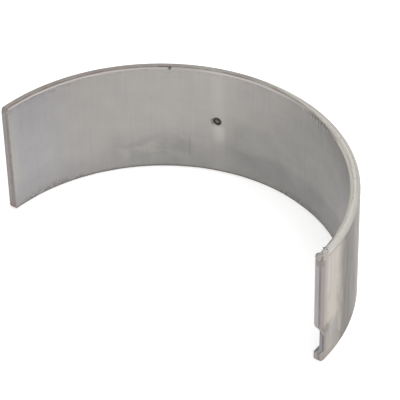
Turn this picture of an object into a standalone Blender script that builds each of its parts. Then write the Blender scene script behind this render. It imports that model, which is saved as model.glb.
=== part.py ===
"""Plain half bearing shell for the big end of a connecting rod.

Units are metres and +Z is up. The shell stands on one end face, so its bore axis is upright.
The crown points to +Y, the open side to -Y, and the locating lug is on the +X parting face.
The origin is the middle of the footprint: the bounding box is centred on it in X and Y.
"""
import math

import bpy
from mathutils import Matrix, Vector

# Driving dimensions of the shell
HOUSING_BORE = 0.0936
FREE_SPREAD = 0.0004
CRUSH_HEIGHT = 0.00005
WALL = 0.0024
WIDTH = 0.0302

# Edge breaks round the two end faces and along the two parting faces
END_CHAMFER_OUTER = 0.00042
END_CHAMFER_BORE = 0.0004
PARTING_CHAMFER_OUTER = 0.00064
PARTING_CHAMFER_OUTER_LENGTH = 0.00105
PARTING_CHAMFER_BORE = 0.0006
PARTING_CHAMFER_END = 0.0009

# Crush relief: the bore runs out a little towards each parting face
RELIEF_LENGTH = 0.0045
RELIEF_DEPTH = 0.00008

# Oil hole, drilled through the wall towards the bore axis
OIL_HOLE_DIAMETER = 0.0021
OIL_HOLE_FROM_CROWN = math.radians(18.8)
OIL_HOLE_ABOVE_MIDDLE = 0.0005
OIL_HOLE_COUNTERSINK = 0.0029
OIL_HOLE_COUNTERSINK_DEPTH = 0.00016
OIL_HOLE_COUNTERSINK_OFFSET = 0.0002
OIL_HOLE_DEBURR = 0.00006

# Locating lug, pushed outwards by a punch that leaves a notch on the bore side
LUG_CENTRE_HEIGHT = 0.0066
LUG_HEIGHT = 0.00115
LUG_LENGTH = 0.0052
LUG_ROOT_WIDTH = 0.0079
LUG_TOP_WIDTH = 0.0045
LUG_ROUNDING = 0.0002
NOTCH_DEPTH = 0.0020
NOTCH_LENGTH = 0.0056
NOTCH_MOUTH_WIDTH = 0.0083
NOTCH_FLOOR_WIDTH = 0.0055
NOTCH_ROUNDING = 0.0006

# Nick in the bore edge of the upper end face
NICK_FROM_CROWN = math.radians(33.8)
NICK_LENGTH = 0.0010
NICK_DEPTH = 0.0007
NICK_REACH = 0.0011
NICK_SIDES = 5

# Fineness of the round surfaces
STEPS_PER_TURN = 240
HOLE_STEPS = 32
ROUNDING_STEPS = 3
SHARP_ANGLE = math.radians(25)
MERGE_DISTANCE = 0.00001
CLEARANCE = 0.002

# Sizes worked out from the driving dimensions
OUTER_RADIUS = (HOUSING_BORE + FREE_SPREAD) / 2
BORE_RADIUS = OUTER_RADIUS - WALL
HALF_ANGLE = (math.pi * HOUSING_BORE / 4 + CRUSH_HEIGHT) / OUTER_RADIUS
JOINT_Y = OUTER_RADIUS * math.cos(HALF_ANGLE)
LUG_SINK = WALL / 3

STEEL_COLOUR = (0.42, 0.405, 0.39, 1.0)
STEEL_METALLIC = 0.85
STEEL_ROUGHNESS = 0.42


def clear_scene():
    for item in list(bpy.data.objects):
        bpy.data.objects.remove(item, do_unlink=True)


def new_collection(name):
    collection = bpy.data.collections.new(name)
    bpy.context.scene.collection.children.link(collection)
    return collection


def take_active(name, collection):
    """Name the object that a primitive operator has just made and file it in a collection."""
    item = bpy.context.active_object
    item.name = name
    item.data.name = name
    for holder in list(item.users_collection):
        holder.objects.unlink(item)
    collection.objects.link(item)
    return item


def bake_transform(item, matrix):
    """Write a placement into the mesh, so that modifier widths keep their true size."""
    item.data.transform(matrix)
    item.location = (0.0, 0.0, 0.0)
    item.rotation_euler = (0.0, 0.0, 0.0)
    item.scale = (1.0, 1.0, 1.0)


def turned(name, profile, steps, closed, collection):
    """Turn a profile of (radius, height) points round Z. It runs down its outer side."""
    mesh = bpy.data.meshes.new(name)
    count = len(profile)
    edges = [(i, i + 1) for i in range(count - 1)]
    if closed:
        edges.append((count - 1, 0))
    mesh.from_pydata([(radius, 0.0, height) for radius, height in profile], edges, [])
    item = bpy.data.objects.new(name, mesh)
    collection.objects.link(item)
    screw = item.modifiers.new("Turn", "SCREW")
    screw.axis = "Z"
    screw.steps = steps
    screw.render_steps = steps
    screw.use_merge_vertices = True
    screw.merge_threshold = MERGE_DISTANCE
    screw.use_smooth_shade = True
    return item


def boolean(item, tool, operation):
    modifier = item.modifiers.new(tool.name, "BOOLEAN")
    modifier.operation = operation
    modifier.solver = "EXACT"
    modifier.object = tool


def ring(collection):
    """The strip as a full turn: outer side, lower edge breaks, bore, upper edge breaks."""
    profile = [
        (OUTER_RADIUS, WIDTH - END_CHAMFER_OUTER),
        (OUTER_RADIUS, END_CHAMFER_OUTER),
        (OUTER_RADIUS - END_CHAMFER_OUTER, 0.0),
        (BORE_RADIUS + END_CHAMFER_BORE, 0.0),
        (BORE_RADIUS, END_CHAMFER_BORE),
        (BORE_RADIUS, WIDTH - END_CHAMFER_BORE),
        (BORE_RADIUS + END_CHAMFER_BORE, WIDTH),
        (OUTER_RADIUS - END_CHAMFER_OUTER, WIDTH),
    ]
    return turned("bearing_shell", profile, STEPS_PER_TURN, True, collection)


def box(name, low, high, collection):
    bpy.ops.mesh.primitive_cube_add(size=1.0)
    item = take_active(name, collection)
    size = Vector(high) - Vector(low)
    middle = (Vector(high) + Vector(low)) / 2
    bake_transform(item, Matrix.Translation(middle) @ Matrix.Diagonal(size.to_4d()))
    return item


def joint_block(collection):
    """Everything on the open side of the joint plane, which the other shell would fill."""
    reach = OUTER_RADIUS + LUG_HEIGHT + CLEARANCE
    return box("joint_block", (-reach, -reach, -CLEARANCE), (reach, JOINT_Y, WIDTH + CLEARANCE),
               collection)


def edge_bar(name, start, end, out, length, place, collection):
    """A square bar with its length along Z, one of whose faces runs from start to end.

    start, end and out are in the plane of its section, and out is the side that it removes.
    place then puts it where the edge is.
    """
    middle = (start + end) / 2
    along = (end - start).normalized()
    normal = Vector((along.y, -along.x))
    if normal.dot(out) < 0:
        normal.negate()
    half = (end - start).length * 2
    centre = middle + normal * half
    bpy.ops.mesh.primitive_cube_add(size=2.0)
    item = take_active(name, collection)
    scale = Matrix.Diagonal((half, half, length / 2, 1.0))
    turn = Matrix.Rotation(math.atan2(along.y, along.x), 4, "Z")
    bake_transform(item, place @ Matrix.Translation(centre.to_3d()) @ turn @ scale)
    return item


def parting_bar(name, radius, reach, length, outwards, side, collection):
    """Breaks the edge between a parting face and the surface at radius."""
    corner = surface_x(radius, JOINT_Y)
    start = Vector(((corner - outwards * reach) * side, JOINT_Y))
    end = Vector((corner * side, JOINT_Y + length))
    place = Matrix.Translation((0.0, 0.0, WIDTH / 2))
    return edge_bar(name, start, end, Vector((outwards * side, -1.0)), WIDTH + 2 * CLEARANCE,
                    place, collection)


def end_bar(name, level, upwards, collection):
    """Breaks the edges between both parting faces and the end face at level."""
    start = Vector((JOINT_Y, level - upwards * PARTING_CHAMFER_END))
    end = Vector((JOINT_Y + PARTING_CHAMFER_END, level))
    length = 2 * (OUTER_RADIUS + LUG_HEIGHT + CLEARANCE)
    section_to_side = Matrix(((0, 0, 1, 0), (1, 0, 0, 0), (0, 1, 0, 0), (0, 0, 0, 1)))
    return edge_bar(name, start, end, Vector((-1.0, upwards)), length, section_to_side, collection)


def surface_x(radius, y):
    return math.sqrt(radius * radius - y * y)


def ramp_block(name, radius, height, length, root_width, top_width, sink, rounding, collection):
    """A block with drafted sides that stands on the surface at radius.

    Its top is at the full height on the joint plane and ramps down to the surface at length.
    The sides have one draft all along, and the block reaches past the joint plane. It ends in
    triangles, because the rounded corners aren't flat.
    """
    back = JOINT_Y + length
    back_x = surface_x(radius, back)
    rise = (radius + height - back_x) / length
    draft = (root_width - top_width) / 2 / height
    bpy.ops.mesh.primitive_cube_add(size=2.0)
    item = take_active(name, collection)
    for vertex in item.data.vertices:
        y = JOINT_Y - CLEARANCE if vertex.co.y < 0 else back
        x = back_x + rise * (back - y) if vertex.co.x > 0 else radius - sink
        half_width = root_width / 2 - draft * (x - radius)
        vertex.co = Vector((x, y, LUG_CENTRE_HEIGHT + math.copysign(half_width, vertex.co.z)))
    bevel = item.modifiers.new("Rounding", "BEVEL")
    bevel.width = rounding
    bevel.segments = ROUNDING_STEPS
    bevel.limit_method = "NONE"
    item.modifiers.new("Flat faces", "TRIANGULATE")
    return item


def relief_cutter(side, collection):
    """A cylinder whose side leaves the bore at the relief's length and is deepest at the joint."""
    deep_x = surface_x(BORE_RADIUS, JOINT_Y) + RELIEF_DEPTH
    angle = RELIEF_LENGTH / BORE_RADIUS
    meet_x = BORE_RADIUS * math.cos(angle)
    meet_y = BORE_RADIUS * math.sin(angle) - JOINT_Y
    centre = (deep_x ** 2 - meet_x ** 2 - meet_y ** 2) / (2 * (deep_x - meet_x))
    bpy.ops.mesh.primitive_cylinder_add(
        vertices=STEPS_PER_TURN, radius=deep_x - centre, depth=WIDTH + 2 * CLEARANCE)
    item = take_active("relief_left" if side < 0 else "relief_right", collection)
    bake_transform(item, Matrix.Translation((side * centre, JOINT_Y, WIDTH / 2)))
    return item


def radial(from_crown, height):
    """Turn Z to point outwards from the bore axis, at an angle from the crown towards -X."""
    lift = Matrix.Translation((0.0, 0.0, height))
    turn = Matrix.Rotation(from_crown, 4, "Z")
    lean = Matrix.Rotation(math.radians(-90), 4, "X")
    return lift @ turn @ lean


def oil_hole_drill(collection):
    """The drill, with a small deburring cone where it leaves the back of the shell."""
    drill = OIL_HOLE_DIAMETER / 2
    over = CLEARANCE / 2
    profile = [
        (0.0, OUTER_RADIUS + over),
        (drill + OIL_HOLE_DEBURR + over, OUTER_RADIUS + over),
        (drill, OUTER_RADIUS - OIL_HOLE_DEBURR),
        (drill, BORE_RADIUS - over),
        (0.0, BORE_RADIUS - over),
    ]
    item = turned("oil_hole_drill", profile, HOLE_STEPS, False, collection)
    item.matrix_world = radial(OIL_HOLE_FROM_CROWN, WIDTH / 2 + OIL_HOLE_ABOVE_MIDDLE)
    return item


def countersink(collection):
    """A flat cone round the drill on the bore side, a little off its centre."""
    sink = OIL_HOLE_COUNTERSINK / 2
    steepness = (sink - OIL_HOLE_DIAMETER / 2) / OIL_HOLE_COUNTERSINK_DEPTH
    over = CLEARANCE / 2
    profile = [
        (0.0, BORE_RADIUS + sink / steepness),
        (sink + steepness * over, BORE_RADIUS - over),
        (0.0, BORE_RADIUS - over),
    ]
    item = turned("oil_hole_countersink", profile, HOLE_STEPS, False, collection)
    angle = OIL_HOLE_FROM_CROWN + OIL_HOLE_COUNTERSINK_OFFSET / BORE_RADIUS
    item.matrix_world = radial(angle, WIDTH / 2 + OIL_HOLE_ABOVE_MIDDLE)
    return item


def nick_tool(collection):
    """A small pyramid that bites into the bore edge of the upper end face."""
    deep = Vector((0.0, NICK_REACH, -NICK_DEPTH))
    bpy.ops.mesh.primitive_cone_add(vertices=NICK_SIDES, radius1=NICK_LENGTH, depth=2 * deep.length)
    item = take_active("nick_tool", collection)
    tilt = deep.to_track_quat("Z", "X").to_matrix().to_4x4()
    rim = Matrix.Translation((0.0, BORE_RADIUS, WIDTH))
    turn = Matrix.Rotation(NICK_FROM_CROWN, 4, "Z")
    bake_transform(item, turn @ rim @ tilt)
    return item


def steel():
    material = bpy.data.materials.new("bearing_steel")
    material.use_nodes = True
    shader = material.node_tree.nodes["Principled BSDF"]
    shader.inputs["Base Color"].default_value = STEEL_COLOUR
    shader.inputs["Metallic"].default_value = STEEL_METALLIC
    shader.inputs["Roughness"].default_value = STEEL_ROUGHNESS
    material.diffuse_color = STEEL_COLOUR
    return material


def settle(item):
    """Replace the modifier stack by its result and shade it smooth between sharp edges."""
    depsgraph = bpy.context.evaluated_depsgraph_get()
    mesh = bpy.data.meshes.new_from_object(item.evaluated_get(depsgraph))
    item.modifiers.clear()
    item.data = mesh
    mesh.name = item.name
    mesh.shade_smooth()
    mesh.set_sharp_from_angle(angle=SHARP_ANGLE)


def to_middle(item):
    """The move in X and Y that puts the middle of the item's footprint on the origin."""
    xs = [vertex.co.x for vertex in item.data.vertices]
    ys = [vertex.co.y for vertex in item.data.vertices]
    return Vector((-(min(xs) + max(xs)) / 2, -(min(ys) + max(ys)) / 2, 0.0))


def build():
    clear_scene()
    parts = new_collection("engine_bearing_shell")
    tools = new_collection("cutters")

    shell = ring(parts)
    for side in (-1, 1):
        bar = parting_bar("outer_edge_bar", OUTER_RADIUS, PARTING_CHAMFER_OUTER,
                          PARTING_CHAMFER_OUTER_LENGTH, 1, side, tools)
        boolean(shell, bar, "DIFFERENCE")
        boolean(shell, relief_cutter(side, tools), "DIFFERENCE")
        bar = parting_bar("bore_edge_bar", BORE_RADIUS, PARTING_CHAMFER_BORE,
                          PARTING_CHAMFER_BORE, -1, side, tools)
        boolean(shell, bar, "DIFFERENCE")

    lug = ramp_block("lug", OUTER_RADIUS, LUG_HEIGHT, LUG_LENGTH, LUG_ROOT_WIDTH, LUG_TOP_WIDTH,
                     LUG_SINK, LUG_ROUNDING, tools)
    bar = parting_bar("lug_edge_bar", OUTER_RADIUS + LUG_HEIGHT, PARTING_CHAMFER_OUTER,
                      PARTING_CHAMFER_OUTER_LENGTH, 1, 1, tools)
    boolean(lug, bar, "DIFFERENCE")
    boolean(shell, lug, "UNION")

    boolean(shell, end_bar("lower_end_bar", 0.0, -1, tools), "DIFFERENCE")
    boolean(shell, end_bar("upper_end_bar", WIDTH, 1, tools), "DIFFERENCE")
    boolean(shell, joint_block(tools), "DIFFERENCE")
    punch = ramp_block("punch", BORE_RADIUS, NOTCH_DEPTH, NOTCH_LENGTH, NOTCH_MOUTH_WIDTH,
                       NOTCH_FLOOR_WIDTH, CLEARANCE, NOTCH_ROUNDING, tools)
    for tool in (punch, oil_hole_drill(tools), countersink(tools), nick_tool(tools)):
        boolean(shell, tool, "DIFFERENCE")

    for tool in tools.objects:
        tool.hide_render = True
        tool.display_type = "WIRE"

    bpy.context.view_layer.update()
    settle(shell)
    shell.data.materials.clear()
    shell.data.materials.append(steel())
    shift = to_middle(shell)
    shell.location = shift
    for tool in tools.objects:
        tool.location += shift


build()
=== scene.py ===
"""Looks of the half bearing shell: one finely modelled shell in place of the plain solid.

Lengths are in millimetres until the mesh is written, and angles in degrees from the crown,
positive towards the parting face that has the locating lug. In the materials, a is the length
along the wall from the crown, z the height, r the radius and j the distance from the joint.
"""
import math

import bmesh
import bpy
import numpy as np
from mathutils import Matrix, Vector


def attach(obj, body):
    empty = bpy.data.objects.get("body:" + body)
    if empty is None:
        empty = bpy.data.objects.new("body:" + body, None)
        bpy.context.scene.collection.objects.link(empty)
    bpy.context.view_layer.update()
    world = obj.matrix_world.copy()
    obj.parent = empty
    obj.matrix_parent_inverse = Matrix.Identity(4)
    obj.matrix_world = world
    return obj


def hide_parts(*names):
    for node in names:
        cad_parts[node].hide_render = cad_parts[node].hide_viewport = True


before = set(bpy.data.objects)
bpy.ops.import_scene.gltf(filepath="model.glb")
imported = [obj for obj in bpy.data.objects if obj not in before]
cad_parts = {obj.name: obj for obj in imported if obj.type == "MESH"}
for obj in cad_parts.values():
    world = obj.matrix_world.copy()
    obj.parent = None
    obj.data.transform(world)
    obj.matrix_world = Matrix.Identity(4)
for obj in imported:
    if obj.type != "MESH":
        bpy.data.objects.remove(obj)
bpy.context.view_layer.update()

MM = 0.001

# Where the bore axis stands in the frame
AXIS_X = -0.4827
AXIS_Y = -23.6321

# Main sizes
OUTER = 47.0
BORE = 44.6
WIDTH = 30.2
JOINT = 0.2641
WALL = OUTER - BORE
MIDDLE = OUTER - WALL / 2
END_ANGLE = math.acos(JOINT / MIDDLE)
ARC_END = END_ANGLE * MIDDLE

# Edge breaks, the rounding between their faces, the crush relief in the bore, and the length over
# which the sections turn to lie flat on the joint
END_OUTER = 0.42
END_BORE = 0.40
END_BORE_NARROW = 0.29
END_BORE_WIDENS = (5.0, 14.0)
PART_OUTER = 0.64
PART_OUTER_LENGTH = 1.05
PART_BORE = 0.60
PART_END = 0.90
BREAK_LEAST = 0.06
BREAK_FOOT = 0.08
ROUND = 0.09
ROUND_REACH = 0.07
ROUND_SHARE = 0.42
RELIEF_LENGTH = 4.5
RELIEF_DEPTH = 0.08
TURN_LENGTH = 6.0

# Locating lug, and the notch that the punch leaves behind it in the bore. Both lie within LUG_ARC of
# the joint, measured along the wall, and within the heights of LUG_BAND
LUG_Z = 6.6
LUG_HEIGHT = 1.15
LUG_LENGTH = 5.2
LUG_ROOT = 7.9
LUG_TOP = 4.5
LUG_BLEND = 0.22
LUG_CREST_BLEND = 0.08
NOTCH_DEPTH = 2.0
NOTCH_LENGTH = 5.6
NOTCH_MOUTH = 8.3
NOTCH_FLOOR = 5.5
NOTCH_BLEND = 0.30
NOTCH_RIM_BLEND = 0.06
NOTCH_UPPER = 4.06
NOTCH_UPPER_SLOPE = 4.7
LUG_ARC = 8.0
LUG_BAND = (1.0, 13.0)

# Oil hole
HOLE_ANGLE = -18.8
HOLE_Z = WIDTH / 2 + 0.5
HOLE_RADIUS = 0.93
HOLE_ROLL = 0.06
SINK_RADIUS = 1.36
SINK_DEPTH = 0.16
SINK_OFFSET = 0.24
HOLE_STEPS = 56

# Nick in the upper bore edge
NICK_ANGLE = -33.8
NICK_HALF = 0.5
NICK_SIZE = 0.5
NICK_DROP = 0.2

# Chips in the upper bore edge: angle, half length, extra size
CHIP_RANGE = (9.0, 30.0)
CHIPS = ((14.6, 0.22, 0.12), (18.2, 0.26, 0.30), (19.7, 0.34, 0.50), (20.8, 0.22, 0.40), (21.6, 0.30, 0.52),
         (23.0, 0.38, 0.44), (24.5, 0.24, 0.50), (25.6, 0.34, 0.36), (27.4, 0.22, 0.20))

# Burr at the upper corner by the lug's parting face: a lip and a thin sliver, as lengths from it
LIP_AT, LIP_HALF, LIP_REACH = 1.4, 1.25, 0.38
SLIVER_AT, SLIVER_HALF, SLIVER_REACH = 4.2, 0.26, 0.75

# Where points stand along a rounded corner, an edge break and a face, as shares of its length
ARC_POINTS = np.linspace(0, 1, 4)
CHAMFER_FRACTIONS = np.array([0.33, 0.67])
FACE_FRACTIONS = np.array([0.04, 0.16, 0.32, 0.5, 0.68, 0.84, 0.96])

# The corners of a section are numbered from the lower outer one, and each run starts at its corner
CORNERS = 8
OUTER_RUN = 0
BORE_RUN = 4


def arc(angle):
    """Length along the middle of the wall, from the crown."""
    return math.radians(angle) * MIDDLE


def smooth_noise(x, y, seed):
    """Value noise of three octaves on two arrays, about -1 to 1, from hashed lattice points."""
    total = np.zeros(np.broadcast(x, y).shape)
    weight, norm = 1.0, 0.0
    for octave in range(3):
        u = x * 2.0 ** octave + 17.3 * seed
        v = y * 2.0 ** octave + 9.1 * seed
        iu, iv = np.floor(u), np.floor(v)
        fu, fv = u - iu, v - iv
        fu, fv = fu * fu * (3 - 2 * fu), fv * fv * (3 - 2 * fv)

        def lattice(p, q):
            hashed = np.sin(p * 127.1 + q * 311.7 + seed * 74.7 + octave * 19.19) * 43758.5453
            return (hashed - np.floor(hashed)) * 2 - 1

        near_row = lattice(iu, iv) * (1 - fu) + lattice(iu + 1, iv) * fu
        far_row = lattice(iu, iv + 1) * (1 - fu) + lattice(iu + 1, iv + 1) * fu
        total = total + weight * (near_row * (1 - fv) + far_row * fv)
        norm += weight
        weight *= 0.5
    return total / norm


def soft_min(a, b, width):
    """The lower of two values, with a rounded change from one to the other."""
    h = np.clip(0.5 + 0.5 * (b - a) / width, 0, 1)
    return b * (1 - h) + a * h - width * h * (1 - h)


def soft_max(a, b, width):
    """The higher of two values, with a rounded change from one to the other."""
    return -soft_min(-a, -b, width)


def ramp_down(s, size, length):
    """A straight edge break: size at s = 0, nothing from s = length on, its foot rounded."""
    return soft_max(size * (1 - s / length), 0 * s, BREAK_FOOT)


def edge_roll(s):
    """Extra inset that rolls the last bit before the parting face over into it."""
    inside = np.clip(ROUND - s, 0, ROUND)
    return ROUND - np.sqrt(np.clip(ROUND ** 2 - inside ** 2, 0, None))


def hump(a, centre, half):
    """A smooth hump of height 1 at centre."""
    x = np.clip(np.abs(a - centre) / half, 0, 1)
    return (1 - x * x) ** 2


def graded(low, high, step_at):
    """Positions from low to high whose spacing follows step_at(position)."""
    places = [low]
    while places[-1] < high:
        places.append(places[-1] + step_at(places[-1]))
    places = np.array(places)
    return low + (places - low) * (high - low) / (places[-1] - low)


def arc_step(a):
    """Spacing of the sections along the arc: the first detail that a lies in sets it."""
    s = ARC_END - abs(a)
    on_lug_side = a > 0
    details = (
        (s < 0.2, 0.035),  # the rolled edge of the parting face
        (s < 1.4, 0.09),  # the edge breaks along it
        (on_lug_side and s < 2.8, 0.14),  # the burr's lip
        (on_lug_side and abs(s - SLIVER_AT) < 0.4, 0.08),
        (on_lug_side and s < 6.2, 0.19),  # the lug and the notch
        (abs(a - arc(HOLE_ANGLE)) < 2.2, 0.2),
        (abs(a - arc(NICK_ANGLE)) < 1.2, 0.12),
        (arc(CHIP_RANGE[0]) < a < arc(CHIP_RANGE[1]), 0.2),
        (True, 0.5),
    )
    return next(step for inside, step in details if inside)


def height_step(z):
    """Spacing of the points up the wall: fine at the ends, the notch's upper wall and the lug."""
    details = (
        (min(z, WIDTH - z) < 0.5, 0.12),
        (9.8 < z < 11.0, 0.14),
        (1.4 < z < 11.8, 0.32),
        (True, 0.65),
    )
    return next(step for inside, step in details if inside)


def ramp_x(y, radius, height, length):
    """X of a plane that stands height proud at the joint and meets the radius at length."""
    back = JOINT + length
    back_x = math.sqrt(radius ** 2 - back ** 2)
    return back_x + (radius + height - back_x) / length * (back - y)


def side_x(z, radius, height, root, top):
    """X of the two drafted sides of the lug or the notch, root wide at the radius."""
    draft = (root - top) / 2 / height
    return radius + (root / 2 - np.abs(z - LUG_Z)) / draft


def upper_side_x(z):
    """X of the notch's upper wall, which is steeper than the lower one."""
    return BORE + (LUG_Z + NOTCH_UPPER - z) * NOTCH_UPPER_SLOPE


def radius_of(x, y):
    """Distance from the bore axis."""
    return np.sqrt(x ** 2 + y ** 2)


def profile(corners, runs):
    """Rounded closed outlines, one a section, and which corner or run each of their points is on.

    corners is sections x 8 x 2, and runs holds 8 lists of fractions. A point on a run is marked
    with the run's number k, and a point on a corner with -1 - k.
    """
    points, owner = [], []
    after = np.roll(corners, -1, axis=1) - corners
    length = np.linalg.norm(after, axis=2)

    def cut_at(k):
        shorter = np.minimum(length[:, k], length[:, k - 1])
        return np.minimum(ROUND_REACH, ROUND_SHARE * shorter)[:, None]

    for k in range(CORNERS):
        corner = corners[:, k]
        start = corner - after[:, k - 1] / length[:, k - 1, None] * cut_at(k)
        end = corner + after[:, k] / length[:, k, None] * cut_at(k)
        for t in ARC_POINTS:
            points.append(start * (1 - t) ** 2 + corner * 2 * t * (1 - t) + end * t ** 2)
            owner.append(-1 - k)
        following = (k + 1) % CORNERS
        stop = corners[:, following] - after[:, k] / length[:, k, None] * cut_at(following)
        for t in runs[k]:
            points.append(end * (1 - t) + stop * t)
            owner.append(k)
    return np.stack(points, axis=1), np.array(owner)


def upper_bore_break(a, s, end_inset):
    """Size of the upper bore edge's break, across and down: waves, chips, the nick and the burr's lip."""
    width = np.interp(a, END_BORE_WIDENS, (END_BORE_NARROW, END_BORE))
    base = width * (1 + 0.15 * smooth_noise(a * 0.14, 0 * a, 7))
    chips = sum(size * hump(a, arc(at), half) for at, half, size in CHIPS)
    chip_middle, chip_half = sum(CHIP_RANGE) / 2, (CHIP_RANGE[1] - CHIP_RANGE[0]) / 2
    rough = 0.10 * np.abs(smooth_noise(a * 1.7, 0 * a, 11)) * hump(a, arc(chip_middle), arc(chip_half))
    nick = np.clip(1 - np.abs(a - arc(NICK_ANGLE)) / NICK_HALF, 0, 1)
    lip = hump(s, LIP_AT, LIP_HALF) * (a > 0)
    across = base * (1 - lip) + chips * 0.12 + rough + NICK_SIZE * nick - end_inset
    down = base * (1 - 0.5 * lip) + chips + 1.4 * rough + NICK_DROP * nick - end_inset
    return np.maximum(BREAK_LEAST, across), np.maximum(BREAK_LEAST, down)


def section_corners(a, s):
    """The eight corners of each section as radius and height: sections x 8 x 2."""
    def wavy(size, amount, pace, seed):
        return np.maximum(BREAK_LEAST, size * (1 + amount * smooth_noise(a * pace, 0 * a, seed)) - end_inset)

    roll = edge_roll(s)
    outer = OUTER - ramp_down(s, PART_OUTER, PART_OUTER_LENGTH) - roll
    relief = RELIEF_DEPTH * np.clip(1 - s / RELIEF_LENGTH, 0, 1)
    bore = BORE + relief + ramp_down(s, PART_BORE, PART_BORE) + roll
    end_inset = ramp_down(s, PART_END, PART_END) + roll
    top = WIDTH - end_inset
    low = end_inset
    upper_outer = wavy(END_OUTER, 0.12, 0.12, 3)
    lower_outer = wavy(END_OUTER, 0.12, 0.1, 5)
    lower_bore = wavy(END_BORE, 0.18, 0.3, 13)
    upper_across, upper_down = upper_bore_break(a, s, end_inset)
    burr = (LIP_REACH * hump(s, LIP_AT, LIP_HALF) + SLIVER_REACH * hump(s, SLIVER_AT, SLIVER_HALF)) * (a > 0)
    corners = (
        (outer, low + lower_outer),
        (outer, top - upper_outer),
        (outer - upper_outer, top),
        (bore + upper_across - burr, top),
        (bore, top - upper_down),
        (bore, low + lower_bore),
        (bore + lower_bore, low),
        (outer - lower_outer, low),
    )
    return np.stack([np.stack(corner, axis=1) for corner in corners], axis=1)


def with_lug(r, y, z, s, owner):
    """Radii near the lug's parting face, with the lug raised on the back and the notch in the bore."""
    in_band = (z > LUG_BAND[0]) & (z < LUG_BAND[1])
    lug = soft_min(ramp_x(y, OUTER, LUG_HEIGHT, LUG_LENGTH),
                   side_x(z, OUTER, LUG_HEIGHT, LUG_ROOT, LUG_TOP), LUG_BLEND * 2)
    crest = OUTER + LUG_HEIGHT - ramp_down(s, PART_OUTER, PART_OUTER_LENGTH)
    lug = soft_min(lug, crest + 0 * z, LUG_CREST_BLEND)
    lug = radius_of(lug, y) - edge_roll(s)
    r = np.where((owner == OUTER_RUN)[None, :] & in_band, soft_max(r, lug, LUG_BLEND), r)

    walls = np.where(z > LUG_Z, upper_side_x(z), side_x(z, BORE, NOTCH_DEPTH, NOTCH_MOUTH, NOTCH_FLOOR))
    notch = soft_min(ramp_x(y, BORE, NOTCH_DEPTH, NOTCH_LENGTH), walls, NOTCH_BLEND * 2)
    notch = radius_of(notch, y) + edge_roll(s)
    return np.where((owner == BORE_RUN)[None, :] & in_band, soft_max(r, notch, NOTCH_RIM_BLEND), r)


def close_end(verts, faces, base, owner):
    """Fill one parting face with a grid between the outer and the bore side of its outline."""
    starts = [int(np.argmax(owner == -1 - k)) for k in range(CORNERS)]
    turn = len(ARC_POINTS) - 1
    ring = list(range(base, base + len(owner)))
    upper_corner = starts[2] + turn
    top_row = ring[upper_corner:starts[3] + 1]
    inner_side = ring[starts[3]:starts[6] + turn + 1][::-1]
    low_row = ring[starts[6] + turn:starts[7] + 1][::-1]
    outer_side = ring[starts[7]:] + ring[:upper_corner + 1]
    shares = np.concatenate([[0], FACE_FRACTIONS, [1]])
    rows, across = len(outer_side), len(shares)
    grid = np.zeros((rows, across), dtype=int)
    grid[0] = low_row
    grid[-1] = top_row
    grid[:, 0] = outer_side
    grid[:, -1] = inner_side
    for row in range(1, rows - 1):
        p, q = Vector(verts[outer_side[row]]), Vector(verts[inner_side[row]])
        for col in range(1, across - 1):
            grid[row, col] = len(verts)
            verts.append(tuple(p.lerp(q, shares[col])))
    for row in range(rows - 1):
        for col in range(across - 1):
            faces.append((grid[row, col], grid[row, col + 1], grid[row + 1, col + 1], grid[row + 1, col]))


def shell_mesh():
    """The half shell as one closed surface, in millimetres round its bore axis."""
    a = graded(-ARC_END, ARC_END, arc_step)
    s = np.clip(ARC_END - np.abs(a), 0, None)
    s[0] = s[-1] = 0.0
    heights = graded(0.0, WIDTH, height_step)[1:-1] / WIDTH
    runs = [heights, CHAMFER_FRACTIONS, FACE_FRACTIONS, CHAMFER_FRACTIONS,
            1 - heights[::-1], CHAMFER_FRACTIONS, FACE_FRACTIONS, CHAMFER_FRACTIONS]
    outline, owner = profile(section_corners(a, s), runs)
    r, z = outline[..., 0], outline[..., 1]

    # Near the joint the sections turn parallel to it, so that the parting faces are flat
    turned_share = np.clip(1 - s / TURN_LENGTH, 0, 1) ** 2
    y = r * np.cos(a / MIDDLE)[:, None]
    y = y + (JOINT - r * math.cos(END_ANGLE)) * turned_share[:, None]
    by_lug = (a > 0) & (s < LUG_ARC)
    r[by_lug] = with_lug(r[by_lug], y[by_lug], z[by_lug], s[by_lug][:, None], owner)
    side = np.where(a < 0, -1.0, 1.0)[:, None]
    x = side * np.sqrt(np.maximum(r ** 2 - y ** 2, 0))

    rings = np.stack([x, y, z], axis=2)
    sections, around = rings.shape[:2]
    verts = [tuple(p) for p in rings.reshape(-1, 3)]
    faces = []
    for i in range(sections - 1):
        for j in range(around):
            k = (j + 1) % around
            faces.append((i * around + j, i * around + k, (i + 1) * around + k, (i + 1) * around + j))
    for section in (0, sections - 1):
        close_end(verts, faces, section * around, owner)
    return verts, faces


def turn_outwards(mesh):
    """Make all face normals point out of the closed mesh."""
    work = bmesh.new()
    work.from_mesh(mesh)
    bmesh.ops.recalc_face_normals(work, faces=work.faces)
    work.to_mesh(mesh)
    work.free()


def new_mesh_object(name, verts, faces):
    """An object from points in millimetres, with its faces turned outwards."""
    mesh = bpy.data.meshes.new(name)
    mesh.from_pydata([tuple(c * MM for c in v) for v in verts], [], [tuple(int(i) for i in f) for f in faces])
    mesh.validate()
    turn_outwards(mesh)
    item = bpy.data.objects.new(name, mesh)
    bpy.context.scene.collection.objects.link(item)
    return item


def radial(angle, height):
    """Turns Z to point outwards from the bore axis at an angle from the crown."""
    return (Matrix.Translation((0.0, 0.0, height)) @ Matrix.Rotation(-math.radians(angle), 4, "Z")
            @ Matrix.Rotation(math.radians(-90), 4, "X"))


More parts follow.
